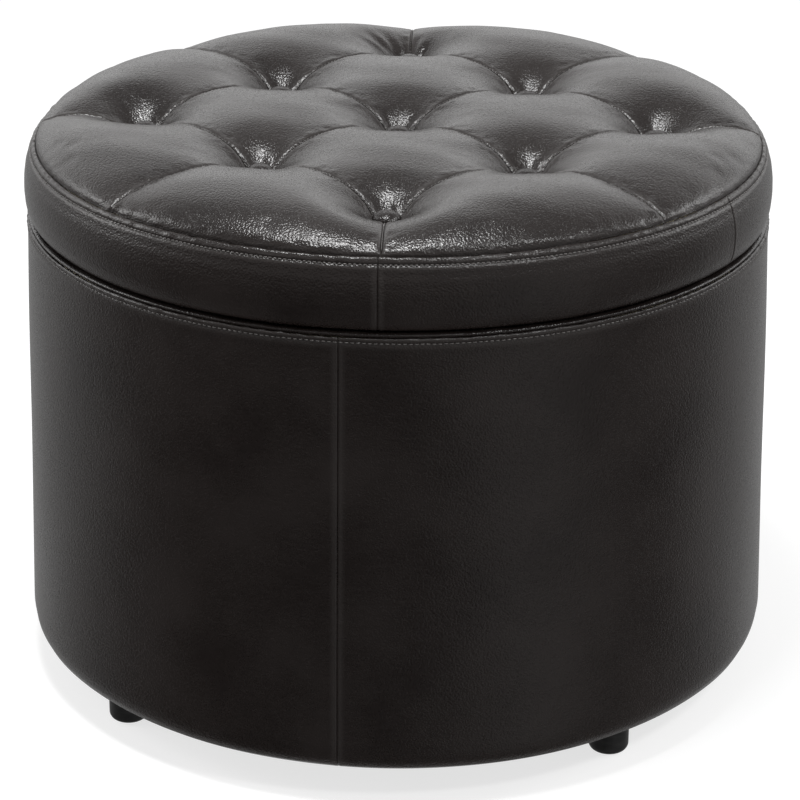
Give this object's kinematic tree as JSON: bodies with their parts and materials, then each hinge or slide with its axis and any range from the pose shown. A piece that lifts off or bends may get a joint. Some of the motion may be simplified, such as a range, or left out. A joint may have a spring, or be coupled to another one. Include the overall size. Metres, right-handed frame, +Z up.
{
  "type": "storage ottoman",
  "caption": "Round padded storage ottoman: upholstered drum on small feet with a buttoned, tufted lid that lifts off.",
  "frame": {"origin": "on the floor under the centre of the drum", "axes": "+Z up; -Y is the front, where the drum's upright seam shows; +X to the right seen from the front"},
  "size_m": [0.597, 0.597, 0.4557],
  "materials": {
    "leather": "semi-gloss pebbled imitation leather",
    "foam": "matte foam",
    "lining": "matte non-woven fabric",
    "plywood": "raw plywood",
    "hardboard": "raw hardboard",
    "foot_plastic": "matte black plastic",
    "steel": "zinc-plated steel",
    "twine": "waxed twine"
  },
  "bodies": {
    "drum": {"base_disc": "plywood", "lower_ring": "plywood", "upright_1": "plywood", "upright_2": "plywood", "upright_3": "plywood", "upright_4": "plywood", "upright_5": "plywood", "upright_6": "plywood", "upper_ring": "plywood", "frame_screws": "steel", "outer_skin": "hardboard", "inner_skin": "hardboard", "wall_lining": "lining", "floor_lining": "lining", "wall_padding": "foam", "drum_panel_1": "leather", "drum_panel_2": "leather", "rim_facing": "leather", "dust_cover": "lining", "base_staples": "steel", "foot_1": "foot_plastic", "foot_2": "foot_plastic", "foot_3": "foot_plastic", "foot_4": "foot_plastic", "foot_studs": "steel"},
    "lid": {"lid_board": "plywood", "locating_disc": "plywood", "locator_screws": "steel", "lid_lining": "lining", "lid_foam": "foam", "diamond_panel_1": "leather", "diamond_panel_2": "leather", "diamond_panel_3": "leather", "diamond_panel_4": "leather", "border_panel_1": "leather", "border_panel_2": "leather", "border_panel_3": "leather", "border_panel_4": "leather", "border_panel_5": "leather", "border_panel_6": "leather", "border_panel_7": "leather", "border_panel_8": "leather", "lid_band_1": "leather", "lid_band_2": "leather", "lid_staples": "steel", "button_1": "leather", "button_2": "leather", "button_3": "leather", "button_4": "leather", "button_5": "leather", "button_6": "leather", "button_7": "leather", "button_8": "leather", "button_9": "leather", "tufting_twine": "twine", "anchor_washers": "steel"}
  },
  "joints": [
    {"name": "lid_lift", "type": "slide", "parent": "drum", "child": "lid", "axis": [0, 0, 1], "range_m": [0, 0.4]}
  ]
}
